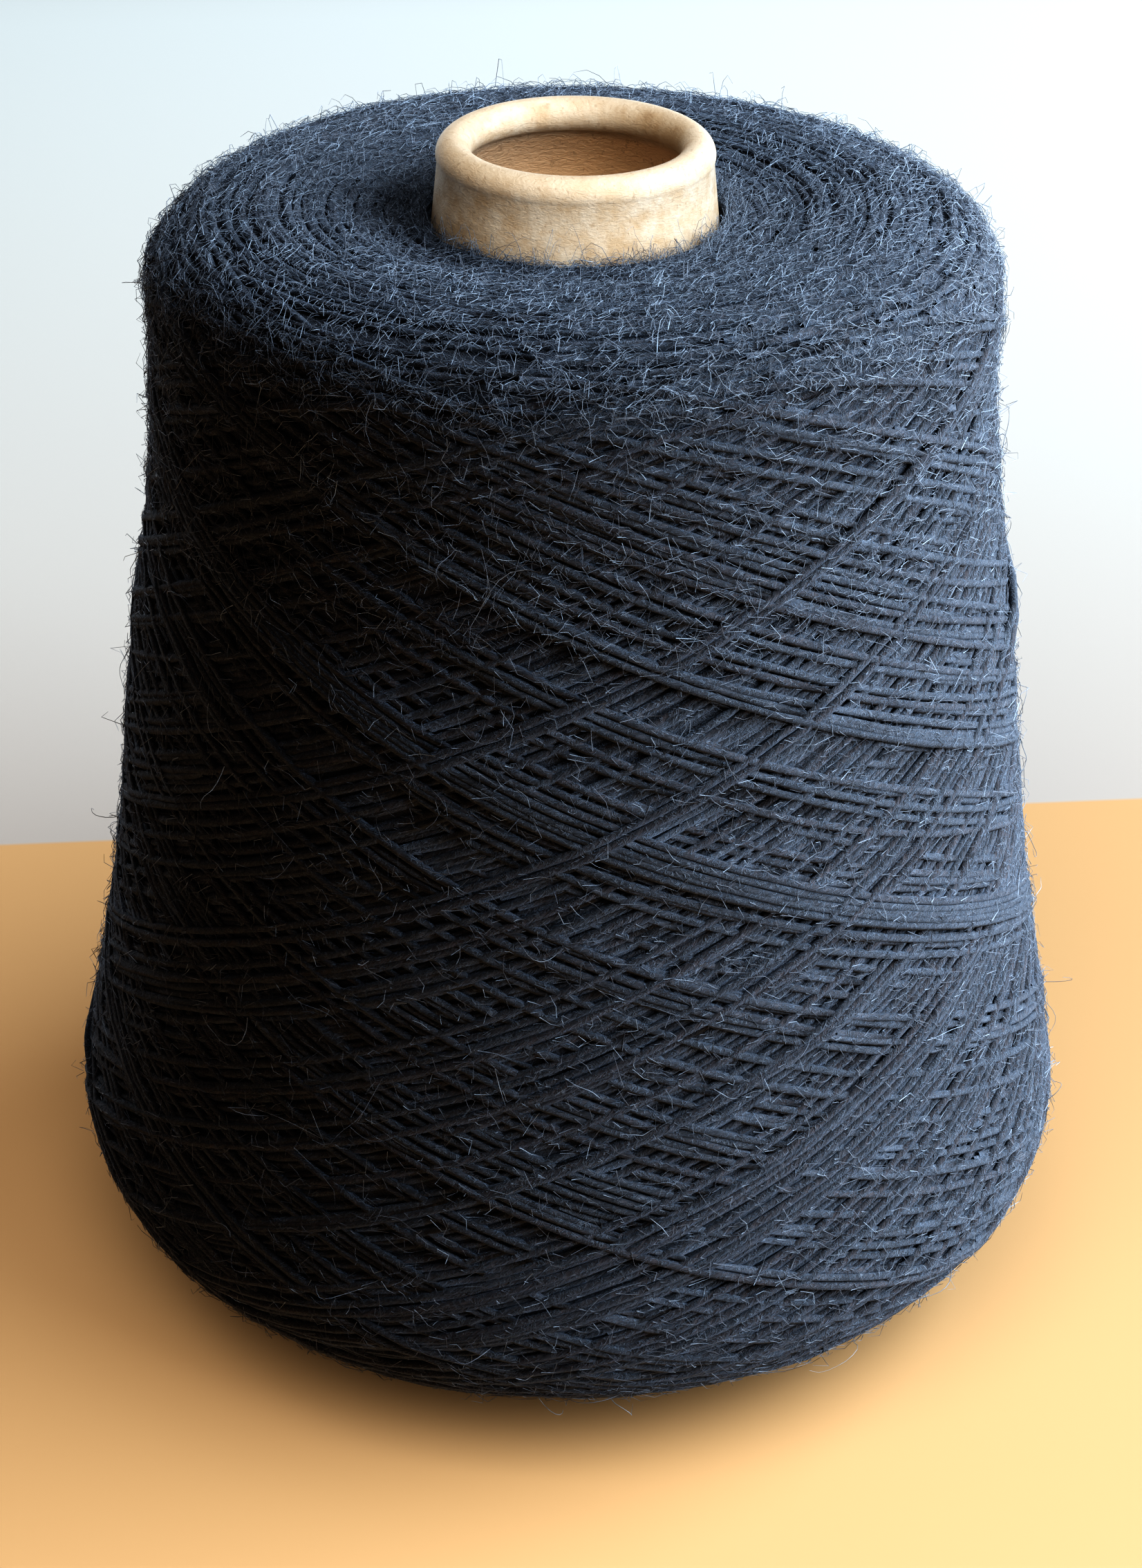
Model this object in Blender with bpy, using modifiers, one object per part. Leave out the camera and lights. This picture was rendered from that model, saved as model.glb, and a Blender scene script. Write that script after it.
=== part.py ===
"""A cone of yarn: wool yarn cross-wound on a paper cone whose small end is rolled inwards.

Metres, +Z up. The paper cone stands on its wide end, with its axis on Z and its base at Z = 0.
Two pieces: the paper cone, and the wound yarn as one solid with its main crossing windings raised.
"""

import math

import bmesh
import bpy

MM = 0.001

# Paper cone: the common 170 mm, 5 deg 57 min size.
CONE_LENGTH = 170.0 * MM
CONE_HALF_ANGLE = math.radians(5.95)
CONE_WALL = 2.2 * MM
NOSE_RADIUS = 18.5 * MM  # outside, at the roll
NOSE_ROLL = 2.35 * MM  # radius of the rolled end's section
NECK_STEP = 0.3 * MM  # how far the roll stands proud of the wall under it
BASE_EDGE = 0.4 * MM  # bevel of the cut edge at the wide end
NECK_RADIUS = NOSE_RADIUS - NECK_STEP
ROLL_CENTRE_RADIUS = NOSE_RADIUS - NOSE_ROLL
ROLL_CENTRE_HEIGHT = CONE_LENGTH - NOSE_ROLL
WALL_ROWS = 5
ROLL_ROWS = 14

# Wound yarn.
FIT_GAP = 0.3 * MM  # between the yarn and the paper, which touch in the real thing
TURN_COUNT = 64  # points round the axis, on both pieces, so their facets keep the same gap
WIND_ANGLE = math.radians(22.5)  # slope of the windings at half height
TURN_BACK_SHARE = 0.06  # share of the side over which a winding turns back at either end
TURN_BACK_SLOPE = 0.30  # slope left at the very end, as a share of the slope at half height
WINDING_STEP = 4  # columns from one main winding to the next
WINDING_RELIEF = 1.2 * MM  # height of the highest main winding over the yarn beside it
FACE_RELIEF = 0.25 * MM  # height of the rings on the two end faces
SUNK_SHARE = 0.35  # share of the relief that lies under the section's own line

# The outside of the wound yarn, from top to bottom. Each row: name, radius and height, in mm.
YARN_TOP_FACE = (
    ("valley", 23.5, 158.6),
    ("rise", 32.0, 160.1),
    ("crest", 40.5, 160.9),
    ("shoulder begins", 48.5, 160.0),
)
YARN_SIDE = (
    ("shoulder", 53.8, 157.4),
    ("lip", 56.8, 151.8),
    ("under the lip", 56.7, 146.0),
    ("neck", 56.9, 137.0),
    ("upper side", 58.1, 122.0),
    ("middle", 61.2, 103.0),
    ("lower side", 63.6, 80.0),
    ("hip", 66.9, 56.0),
    ("flare", 70.0, 40.0),
    ("bulge", 72.0, 28.0),
    ("under the bulge", 69.9, 19.0),
    ("heel", 64.6, 12.4),
)
YARN_FOOT = (
    ("foot edge", 57.0, 9.4),
    ("foot", 47.0, 8.7),
)
YARN_TOP_AT_PAPER = 158.8 * MM
YARN_FOOT_AT_PAPER = 9.0 * MM
TOP_FACE_ROWS = 8
FOOT_ROWS = 5
BORE_ROWS = 7

# How far each main winding stands out is a base share with two waves on it, counted by winding.
# Each row: share, radians from one winding to the next, and radians at the first.
WINDING_BASE = 0.20
WINDING_WAVES = (
    (0.55, 2.40, 0.70),
    (0.25, 0.83, 2.10),
)

PAPER_COLOUR = (0.61, 0.46, 0.27, 1.0)
PAPER_ROUGHNESS = 0.75
YARN_COLOUR = (0.030, 0.032, 0.038, 1.0)
YARN_ROUGHNESS = 0.95


def clear_scene():
    for old in list(bpy.data.objects):
        bpy.data.objects.remove(old, do_unlink=True)


def make_material(name, colour, roughness):
    material = bpy.data.materials.new(name)
    material.use_nodes = True
    shader = material.node_tree.nodes["Principled BSDF"]
    shader.inputs["Base Color"].default_value = colour
    shader.inputs["Roughness"].default_value = roughness
    shader.inputs["Metallic"].default_value = 0.0
    return material


def link_object(name, mesh, material, collection):
    mesh.materials.append(material)
    obj = bpy.data.objects.new(name, mesh)
    collection.objects.link(obj)
    return obj


def section_loop(bm, points):
    """Lays a closed chain of (radius, height) points in the XZ plane, on the +X side."""
    verts = [bm.verts.new((radius, 0.0, height)) for radius, height in points]
    edges = [bm.edges.new((a, b)) for a, b in zip(verts, verts[1:] + verts[:1])]
    return verts, edges


def paper_outside(height):
    """Outer radius of the paper wall at a height, on its straight taper."""
    return NECK_RADIUS + (ROLL_CENTRE_HEIGHT - height) * math.tan(CONE_HALF_ANGLE)


def roll_point(angle):
    radius = ROLL_CENTRE_RADIUS + NOSE_ROLL * math.cos(angle)
    return radius, ROLL_CENTRE_HEIGHT + NOSE_ROLL * math.sin(angle)


def roll_join(wall_radius):
    """Angle on the roll's section where it meets, on its under side, the wall of this radius at the neck."""
    reach = (wall_radius - ROLL_CENTRE_RADIUS) * math.cos(CONE_HALF_ANGLE)
    return CONE_HALF_ANGLE - math.acos(reach / NOSE_ROLL)


def paper_section():
    """Closed section of the paper cone: down the outside, across the base, up the inside, round the roll."""
    outer_join = roll_join(NECK_RADIUS)
    inner_join = roll_join(NECK_RADIUS - CONE_WALL) + 2.0 * math.pi
    outer_top = roll_point(outer_join)[1]
    inner_top = roll_point(inner_join)[1]

    points = []
    for k in range(1, WALL_ROWS + 1):
        height = outer_top + (BASE_EDGE - outer_top) * k / WALL_ROWS
        points.append((paper_outside(height), height))
    points.append((paper_outside(0.0) - BASE_EDGE, 0.0))
    points.append((paper_outside(0.0) - CONE_WALL + BASE_EDGE, 0.0))
    for k in range(WALL_ROWS):
        height = BASE_EDGE + (inner_top - BASE_EDGE) * k / WALL_ROWS
        points.append((paper_outside(height) - CONE_WALL, height))
    for k in range(ROLL_ROWS + 1):
        points.append(roll_point(inner_join + (outer_join - inner_join) * k / ROLL_ROWS))
    return points


def make_paper_cone(collection, material):
    bm = bmesh.new()
    section_loop(bm, paper_section())
    mesh = bpy.data.meshes.new("paper_cone")
    bm.to_mesh(mesh)
    bm.free()
    obj = link_object("paper_cone", mesh, material, collection)
    screw = obj.modifiers.new("turn", "SCREW")
    screw.axis = "Z"
    screw.angle = 2.0 * math.pi
    screw.steps = TURN_COUNT
    screw.render_steps = TURN_COUNT
    screw.use_merge_vertices = True
    screw.merge_threshold = 0.05 * MM
    screw.use_smooth_shade = True
    return obj


def bore_point(height):
    return paper_outside(height) + FIT_GAP, height


def chain_lengths(points):
    """Length along a chain of (radius, height) points up to each of them."""
    lengths = [0.0]
    for (r0, z0), (r1, z1) in zip(points, points[1:]):
        lengths.append(lengths[-1] + math.hypot(r1 - r0, z1 - z0))
    return lengths


def smooth_point(points, lengths, length):
    """The point at a length along the smooth curve through the points."""
    last = len(points) - 1
    k = 0
    while k < last - 1 and length > lengths[k + 1]:
        k += 1

    def tangent(at, axis):
        low, high = max(at - 1, 0), min(at + 1, last)
        return (points[high][axis] - points[low][axis]) / (lengths[high] - lengths[low])

    span = lengths[k + 1] - lengths[k]
    t = (length - lengths[k]) / span
    near = (1.0 + 2.0 * t) * (1.0 - t) ** 2
    far = t * t * (3.0 - 2.0 * t)
    leave = t * (1.0 - t) ** 2 * span
    arrive = -t * t * (1.0 - t) * span
    return tuple(
        points[k][axis] * near
        + points[k + 1][axis] * far
        + tangent(k, axis) * leave
        + tangent(k + 1, axis) * arrive
        for axis in (0, 1)
    )


def lattice_rows(side_length):
    """Rows of the winding lattice as (share of the side, slope there over the slope at half height).

    The rows draw together where the windings turn back.
    """
    middle_radius = next(radius * MM for name, radius, _height in YARN_SIDE if name == "middle")
    row_pitch = 2.0 * math.pi * middle_radius / TURN_COUNT * math.tan(WIND_ANGLE)
    mean_slope = 1.0 - 2.0 * (1.0 - TURN_BACK_SLOPE) * TURN_BACK_SHARE
    count = round(side_length / (row_pitch * mean_slope))
    rows = [(0.0, TURN_BACK_SLOPE)]
    for row in range(count):
        from_end = min(row + 0.5, count - row - 0.5) / count
        slope = 1.0 - (1.0 - TURN_BACK_SLOPE) * math.exp(-from_end / TURN_BACK_SHARE)
        rows.append((rows[-1][0] + slope, slope))
    whole = rows[-1][0]
    return [(share / whole, slope) for share, slope in rows]


def winding_height(index):
    """How far one main winding stands out, from 0 to 1. The last ones wound stand out more."""
    waves = (share * (0.5 + 0.5 * math.sin(step * index + start)) for share, step, start in WINDING_WAVES)
    return WINDING_BASE + sum(waves)


def lattice_height(column, row):
    """Height from 0 to 1 of a point of the lattice. Main windings run each way through every fourth point."""
    windings = TURN_COUNT // WINDING_STEP
    height = 0.0
    if (column + row) % WINDING_STEP == 0:
        height = winding_height((column + row) // WINDING_STEP % windings)
    if (column - row) % WINDING_STEP == 0:
        height = max(height, winding_height((column - row) // WINDING_STEP % windings + windings))
    return height


def wound_section():
    """Closed section of the wound yarn, down the outside and back up the bore.

    Each point is (radius, height, kind, row, relief share). Kinds are face, side and bore.
    """
    table = [(radius * MM, height * MM) for _name, radius, height in YARN_TOP_FACE + YARN_SIDE + YARN_FOOT]
    points = [bore_point(YARN_TOP_AT_PAPER)] + table + [bore_point(YARN_FOOT_AT_PAPER)]
    lengths = chain_lengths(points)
    side_start = lengths[len(YARN_TOP_FACE) + 1]
    side_end = lengths[len(YARN_TOP_FACE) + len(YARN_SIDE)]

    section = []
    for k in range(1, TOP_FACE_ROWS):
        length = side_start * k / TOP_FACE_ROWS
        section.append((*smooth_point(points, lengths, length), "face", k, 1.0))
    for row, (share, slope) in enumerate(lattice_rows(side_end - side_start)):
        length = side_start + (side_end - side_start) * share
        section.append((*smooth_point(points, lengths, length), "side", row, slope))
    for k in range(1, FOOT_ROWS):
        length = side_end + (lengths[-1] - side_end) * k / FOOT_ROWS
        section.append((*smooth_point(points, lengths, length), "face", k, 1.0))
    for k in range(BORE_ROWS + 1):
        height = YARN_FOOT_AT_PAPER + (YARN_TOP_AT_PAPER - YARN_FOOT_AT_PAPER) * k / BORE_ROWS
        section.append((*bore_point(height), "bore", k, 0.0))
    return section


def column_of(vert):
    """Number of a vertex's column round the axis."""
    return round(math.atan2(vert.co.y, vert.co.x) * TURN_COUNT / (2.0 * math.pi)) % TURN_COUNT


def raise_windings(bm, section, station):
    """Moves the outside along its normals, to raise the crossing windings and the rings of the end faces."""
    bm.normal_update()
    moves = []
    for vert in bm.verts:
        _radius, _height, kind, row, share = section[vert[station]]
        if kind == "side":
            lift = WINDING_RELIEF * share * (lattice_height(column_of(vert), row) - SUNK_SHARE)
        else:
            lift = FACE_RELIEF * share * (row % 2 - SUNK_SHARE)
        moves.append(vert.normal * lift)
    for vert, move in zip(bm.verts, moves):
        vert.co += move


def split_along_windings(bm, section, station):
    """Cuts each four-sided face of the side along the diagonal that a winding may follow."""
    for face in list(bm.faces):
        corners = [(vert, *section[vert[station]][2:4]) for vert in face.verts]
        if all(kind == "side" for _vert, kind, _row in corners):
            ends = [vert for vert, _kind, row in corners if (column_of(vert) + row) % 2 == 0]
            bmesh.utils.face_split(face, *ends)


def make_wound_yarn(collection, material):
    section = wound_section()
    bm = bmesh.new()
    station = bm.verts.layers.int.new("station")
    verts, edges = section_loop(bm, [point[:2] for point in section])
    for number, vert in enumerate(verts):
        vert[station] = number
    bmesh.ops.spin(
        bm,
        geom=verts + edges,
        cent=(0.0, 0.0, 0.0),
        axis=(0.0, 0.0, 1.0),
        angle=2.0 * math.pi,
        steps=TURN_COUNT,
        use_merge=True,
        use_duplicate=False,
    )
    bmesh.ops.recalc_face_normals(bm, faces=bm.faces[:])
    raise_windings(bm, section, station)
    split_along_windings(bm, section, station)
    bmesh.ops.triangulate(bm, faces=bm.faces[:])
    mesh = bpy.data.meshes.new("wound_yarn")
    bm.to_mesh(mesh)
    bm.free()
    mesh.shade_smooth()
    return link_object("wound_yarn", mesh, material, collection)


def main():
    clear_scene()
    collection = bpy.data.collections.new("cone_of_yarn")
    bpy.context.scene.collection.children.link(collection)
    paper = make_material("paper", PAPER_COLOUR, PAPER_ROUGHNESS)
    yarn = make_material("yarn", YARN_COLOUR, YARN_ROUGHNESS)
    make_paper_cone(collection, paper)
    make_wound_yarn(collection, yarn)


main()
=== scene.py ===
import math

import bmesh
import bpy
import numpy as np
from bpy.props import FloatProperty, FloatVectorProperty, IntProperty, PointerProperty
from mathutils import Matrix, Vector


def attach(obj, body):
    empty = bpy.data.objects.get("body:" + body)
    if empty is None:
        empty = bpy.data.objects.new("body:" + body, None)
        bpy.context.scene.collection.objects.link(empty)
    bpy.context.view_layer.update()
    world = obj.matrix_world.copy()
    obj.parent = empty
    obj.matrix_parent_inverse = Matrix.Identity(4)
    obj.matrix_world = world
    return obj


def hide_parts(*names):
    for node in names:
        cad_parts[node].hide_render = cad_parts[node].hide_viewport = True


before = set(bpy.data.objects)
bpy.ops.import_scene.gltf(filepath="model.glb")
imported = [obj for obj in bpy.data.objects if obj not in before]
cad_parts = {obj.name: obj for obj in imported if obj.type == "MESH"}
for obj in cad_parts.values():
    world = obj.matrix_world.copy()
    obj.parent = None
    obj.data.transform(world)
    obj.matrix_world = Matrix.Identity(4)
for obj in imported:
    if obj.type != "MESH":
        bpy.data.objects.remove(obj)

bl_info = {
    "name": "Cone of wool yarn",
    "version": (1, 0, 0),
    "blender": (4, 5, 0),
    "location": "3D View > Sidebar > Yarn cone",
    "description": "Winds, fluffs and finishes a cone of wool yarn on its paper cone, and lights it",
    "category": "Object",
}

MM = 0.001  # the winding is worked out in millimetres, and Blender's unit is the metre
FULL_TURN = 2.0 * math.pi
GOLDEN = 0.6180339887  # steps of this share of a range fill it evenly
SEED = 7


# ---------------------------------------------------------------- sizes and colours


class YarnSizes(bpy.types.PropertyGroup):
    strand_thickness: FloatProperty(
        name="Strand thickness", description="Across one strand of yarn", default=0.00132, unit="LENGTH",
    )
    strand_sides: IntProperty(
        name="Strand sides", description="Flats round one strand", default=5, min=3,
    )
    strokes: IntProperty(
        name="Strokes", description="Strokes of the thread guide between the top and the foot", default=540,
    )
    base_strokes: IntProperty(
        name="Strokes in the base", description="Strands side by side in the even layer under all",
        default=118,
    )
    stroke_turn: FloatProperty(
        name="Turn a stroke", description="How far the cone turns in one stroke", default=FULL_TURN,
        subtype="ANGLE",
    )
    top_arcs: IntProperty(
        name="Arcs on the top", description="Strands that lie round the top", default=85,
    )
    foot_arcs: IntProperty(
        name="Arcs at the foot", description="Strands that lie round the foot", default=60,
    )
    body_depth: FloatProperty(
        name="Depth of the body", description="From the strands' mean surface down to the wool body",
        default=0.00065, unit="LENGTH",
    )
    fibres: IntProperty(
        name="Fibres", description="Short straight fibres on the strands", default=13000,
    )
    top_hairs: IntProperty(
        name="Hairs on the top", description="Short curly hairs in each of two layers on the top",
        default=7500,
    )
    neck_hairs: IntProperty(
        name="Hairs at the neck", description="Hairs against the paper cone", default=1500,
    )
    shoulder_hairs: IntProperty(
        name="Hairs on the shoulder", description="Short hairs below the top", default=7000,
    )
    side_hairs: IntProperty(
        name="Hairs on the side", description="Short hairs down the side", default=10500,
    )
    long_hairs: IntProperty(
        name="Long hairs", description="Long pale hairs that stand out", default=260,
    )
    dark: FloatVectorProperty(
        name="Dark wool", description="Between the fibres", subtype="COLOR",
        default=(0.0165, 0.0158, 0.0168),
    )
    fibre: FloatVectorProperty(
        name="Wool fibre", description="The fibres that catch the light", subtype="COLOR",
        default=(0.067, 0.0655, 0.0725),
    )
    # The warm wool colour carries brown fibre at random and also painted warm shade on the strands that run
    # up.
    warm: FloatVectorProperty(
        name="Warm wool", description="The strands with more brown fibre", subtype="COLOR",
        default=(0.065, 0.0505, 0.0495),
    )
    hair: FloatVectorProperty(
        name="Loose hair", description="Hairs that stand off the strands", subtype="COLOR",
        default=(0.24, 0.27, 0.31),
    )


class PaperSizes(bpy.types.PropertyGroup):
    length: FloatProperty(
        name="Length", description="Of the paper cone", default=0.170, unit="LENGTH",
    )
    half_angle: FloatProperty(
        name="Half angle", description="Between the wall and the axis", default=math.radians(5.95),
        subtype="ANGLE",
    )
    wall: FloatProperty(
        name="Wall", description="Thickness of the paper wall", default=0.0022, unit="LENGTH",
    )
    nose_radius: FloatProperty(
        name="Nose radius", description="Over the rolled rim", default=0.0185, unit="LENGTH",
    )
    roll: FloatProperty(
        name="Roll", description="Radius of the rolled rim", default=0.00235, unit="LENGTH",
    )
    neck_step: FloatProperty(
        name="Neck step", description="How far the roll stands out of the wall", default=0.0003,
        unit="LENGTH",
    )
    steps: IntProperty(
        name="Steps", description="Steps round the cone", default=144,
    )
    # Pale paper: the paler patches of the mottle, and the painted light on the top of the rim.
    pale: FloatVectorProperty(
        name="Pale paper", description="Rubbed paper", subtype="COLOR", default=(0.66, 0.625, 0.56),
    )
    kraft: FloatVectorProperty(
        name="Kraft", description="Body of the paper", subtype="COLOR", default=(0.53, 0.44, 0.33),
    )
    # The inside is the same paper drawn in its own lighter tone: painted light for the light that falls in
    # and bounces there.
    inside: FloatVectorProperty(
        name="Inside", description="Paper inside the cone", subtype="COLOR", default=(0.86, 0.69, 0.52),
    )
    # Fleck: the specks, and the darker streaks under the curled rim.
    fleck: FloatVectorProperty(
        name="Fleck", description="Specks and stains", subtype="COLOR", default=(0.22, 0.13, 0.06),
    )


class StageSettings(bpy.types.PropertyGroup):
    camera_height: FloatProperty(
        name="Camera height", description="Over the floor", default=0.31815, unit="LENGTH",
    )
    camera_distance: FloatProperty(
        name="Camera distance", description="From the axis of the cone", default=0.4371, unit="LENGTH",
    )
    camera_pitch: FloatProperty(
        name="Camera pitch", description="Down from level", default=math.radians(29.35), subtype="ANGLE",
    )
    camera_roll: FloatProperty(
        name="Camera roll", description="Lean of the picture", default=math.radians(0.43), subtype="ANGLE",
    )
    lens: FloatProperty(
        name="Lens", description="Focal length", default=79.37, unit="CAMERA",
    )
    floor: FloatVectorProperty(
        name="Floor", description="Colour of the floor", subtype="COLOR", default=(0.25, 0.165, 0.085),
    )
    # Back and far floor: the painted gradient of light on the part of the floor that stands for a wall.
    back: FloatVectorProperty(
        name="Back of the floor", description="Colour of the floor close behind the object",
        subtype="COLOR", default=(0.203, 0.192, 0.182),
    )
    far: FloatVectorProperty(
        name="Far floor", description="Colour of the floor far behind the object", subtype="COLOR",
        default=(0.33, 0.36, 0.37),
    )
    back_distance: FloatProperty(
        name="Back distance", description="From the axis to the line where the floor changes colour",
        default=0.114, unit="LENGTH",
    )
    back_turn: FloatProperty(
        name="Back turn", description="That line's turn off square", default=math.radians(5.5),
        subtype="ANGLE",
    )
    window_power: FloatProperty(
        name="Window light", description="Light on the wool from the right", default=28.0, unit="POWER",
    )
    top_light: FloatProperty(
        name="Light on the top", description="Light on the wool from above and behind", default=11.5,
        unit="POWER",
    )
    back_light: FloatProperty(
        name="Light on the back", description="Low light from behind the object", default=15.0,
        unit="POWER",
    )
    paper_power: FloatProperty(
        name="Light on the paper", description="Broad light on the paper cone", default=17.0, unit="POWER",
    )
    paper_fill: FloatProperty(
        name="Fill on the paper", description="Warm light off the floor on the paper", default=9.5,
        unit="POWER",
    )
    stage_power: FloatProperty(
        name="Light on the floor", description="The window's light on the floor", default=60.0,
        unit="POWER",
    )
    stage_fill: FloatProperty(
        name="Fill on the floor", description="Light on the floor from the front", default=26.0,
        unit="POWER",
    )
    sky: FloatProperty(
        name="Sky", description="Strength of the light from all round", default=0.105,
    )


# ---------------------------------------------------------------- shader maths


class Value:
    """A socket of a shader, so that sums of sockets and numbers are written as sums."""

    def __init__(self, finish, socket):
        self.finish, self.socket = finish, socket

    def _with(self, operation, first, second):
        return self.finish.node("ShaderNodeMath", {"operation": operation}, {0: first, 1: second})

    def __add__(self, other):
        return self._with("ADD", self, other)

    __radd__ = __add__

    def __mul__(self, other):
        return self._with("MULTIPLY", self, other)

    def __sub__(self, other):
        return self._with("SUBTRACT", self, other)

    def __rsub__(self, other):
        return self._with("SUBTRACT", other, self)

    def __pow__(self, other):
        return self._with("POWER", self, other)

    def __abs__(self):
        return self._with("ABSOLUTE", self, 0.0)

    def clamped(self):
        """Held between 0 and 1."""
        return self.finish.node("ShaderNodeClamp", {}, {"Value": self})


class Finish:
    """A material whose nodes are added by node()."""

    def __init__(self, name):
        self.material = bpy.data.materials.new(name)
        self.material.use_nodes = True
        self.tree = self.material.node_tree
        self.shader = self.tree.nodes["Principled BSDF"]

    def _feed(self, socket, value):
        if isinstance(value, Value):
            self.tree.links.new(value.socket, socket)
        elif socket.type == "RGBA":
            socket.default_value = (*value[:3], 1.0)
        else:
            socket.default_value = value

    def node(self, kind, settings, inputs, output=0):
        """Adds one node: settings are its own properties, inputs are values or links by socket."""
        made = self.tree.nodes.new(kind)
        for name, value in settings.items():
            setattr(made, name, value)
        for socket, value in inputs.items():
            self._feed(made.inputs[socket], value)
        return Value(self, made.outputs[output])

    def set(self, **values):
        """Sets sockets of the shader, named with _ for a space."""
        for name, value in values.items():
            self._feed(self.shader.inputs[name.replace("_", " ")], value)

    def object_place(self):
        return self.node("ShaderNodeTexCoord", {}, {}, "Object")

    def attribute(self, name, output="Vector"):
        return self.node("ShaderNodeAttribute", {"attribute_name": name}, {}, output)

    def stretched(self, place, scale, turn=(0.0, 0.0, 0.0)):
        return self.node("ShaderNodeMapping", {}, {"Vector": place, "Scale": scale, "Rotation": turn})

    def noise(self, place, scale, detail=2.0, roughness=0.5, distortion=0.0):
        inputs = {"Vector": place, "Scale": scale, "Detail": detail, "Roughness": roughness}
        inputs["Distortion"] = distortion
        return self.node("ShaderNodeTexNoise", {}, inputs, "Fac")

    def parts(self, vector):
        """The x, y and z of a vector."""
        made = self.node("ShaderNodeSeparateXYZ", {}, {0: vector})
        return [Value(self, output) for output in made.socket.node.outputs]

    def mixed(self, share, first, second):
        """Two colours mixed: in the node that does it, 6 and 7 are the colours and 2 the mixed colour."""
        return self.node("ShaderNodeMix", {"data_type": "RGBA"}, {0: share, 6: first, 7: second}, 2)

    def between(self, value, low, high):
        """0 at low and under, 1 at high and over."""
        inputs = {"Value": value, "From Min": low, "From Max": high}
        return self.node("ShaderNodeMapRange", {"clamp": True}, inputs)

    def bump(self, height, depth, strength=1.0):
        """Bumps of that many metres."""
        inputs = {"Height": height, "Distance": depth, "Strength": strength}
        self.set(Normal=self.node("ShaderNodeBump", {}, inputs, "Normal"))


# ---------------------------------------------------------------- the wound surface

TURN_CENTRE = (45.0, 85.0)  # a point inside the wool's half-section that sees each row of the node once
SECTION_POINTS = 320  # of the mean section
NODE_COLUMNS = 64  # of the CAD node, round the axis
ROW_PITCH = 0.45  # mm down the surface from row to row of the height grid
COLUMNS = 900  # of the height grid
SAMPLE_STEP = 0.35  # mm along a strand
STROKE_LENGTH = 440  # mm of strand in a stroke
SWING = 0.94  # near 1 a stroke turns back sharply at its ends, near 0 slowly
TOP_TURN, FOOT_TURN = (1.0, 2.4), (0.0, 1.8)  # mm: mean and spread of where strokes turn back at either end
WANDER = 0.6  # mm that a stroke sways off its way
STARTS_TRIED = 20
ARC_SPAN = (200, 480)  # degrees
ARC_DRIFT = 3.0  # mm down the surface from an arc's middle to its end, at most
ARC_DIVE = 2.2  # mm that the ends of an arc go under
EDGE = 0.9  # mm that arcs keep from either end of the surface
BESIDE = (2.8, 4.3)  # mm round the cone from a stroke to the next that lies against it
PAINTED_SHADE_WARMTH = (-0.3, 0.6)  # painted warm shade: brown added to the strands that run down and to those that run up, more to those that run up, which face away from the light
BASE_DEPTH = 0.62  # mm from the mean surface down to the middle of the strands in the even layer under all
LAST_STROKES = (  # the strands on top: if it runs down, the turn in degrees, mm down the surface, how many
    (True, -84.1, 154.1, 1),
    (True, -98.0, 87.0, 3),
    (True, -68.8, 104.6, 2),
    (False, -81.3, 73.0, 2),
    (True, -76.9, 73.5, 2),
    (False, -80.0, 91.9, 2),
)
LOOSE_STROKES = (  # strands that stand off the wool: if it runs down, turn, mm down, and mm off the wool
    (False, -9.0, 86.0, 1.1),
    (False, -7.0, 88.5, 0.8),
    (True, -172.0, 161.0, 0.7),
)
LOOSE_REACH = 0.09  # radians round the cone


class WoolSurface:
    """The mean outer surface of the CAD wool, in mm: a line from the paper at the top, over the shoulder
    and down to the paper at the foot, and its outward direction."""

    def __init__(self):
        points = np.array([v.co for v in bpy.data.objects["wound_yarn"].data.vertices]) / MM
        points = np.unique(points.round(3), axis=0)
        radius, height = np.hypot(points[:, 0], points[:, 1]), points[:, 2]
        turn = np.arctan2(points[:, 1], points[:, 0]) / FULL_TURN
        column = np.round(turn * NODE_COLUMNS).astype(int) % NODE_COLUMNS
        angle = np.arctan2(radius - TURN_CENTRE[0], height - TURN_CENTRE[1])
        angle[angle < -math.pi / 3] += FULL_TURN
        grid = np.linspace(angle.min(), angle.max(), SECTION_POINTS)
        lines = np.zeros((2, len(grid)))
        for c in range(NODE_COLUMNS):
            mine = np.flatnonzero(column == c)
            mine = mine[np.argsort(angle[mine])]
            lines += [np.interp(grid, angle[mine], part[mine]) for part in (radius, height)]
        line = lines / NODE_COLUMNS
        run = np.concatenate([[0.0], np.cumsum(np.hypot(*np.diff(line, axis=1)))])
        self.length = run[-1]
        self.rows = int(self.length / ROW_PITCH)
        self.pitch = self.length / self.rows
        self.s = np.linspace(0.0, self.length, self.rows * 2)
        self.r, self.z = np.interp(self.s, run, line[0]), np.interp(self.s, run, line[1])
        along_r, along_z = np.gradient(self.r), np.gradient(self.z)
        size = np.hypot(along_r, along_z)
        out_r, out_z = -along_z / size, along_r / size
        soften = np.ones(9) / 9
        self.out_r = np.convolve(np.pad(out_r, 4, mode="edge"), soften, mode="valid")
        self.out_z = np.convolve(np.pad(out_z, 4, mode="edge"), soften, mode="valid")
        turned = np.flatnonzero(self.out_z < math.sqrt(0.5))
        self.shoulder = self.s[turned[turned > len(self.s) // 10][0]]
        self.heel = self.s[np.flatnonzero(self.out_z > -math.sqrt(0.5))[-1]]

    def radius(self, s):
        return np.interp(s, self.s, self.r)

    def place(self, theta, s, height):
        """Points in metres at that turn, that far down the surface and that high over it."""
        r = np.interp(s, self.s, self.r) + np.interp(s, self.s, self.out_r) * height
        z = np.interp(s, self.s, self.z) + np.interp(s, self.s, self.out_z) * height
        return np.stack([r * np.cos(theta), r * np.sin(theta), z], -1) * MM


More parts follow.
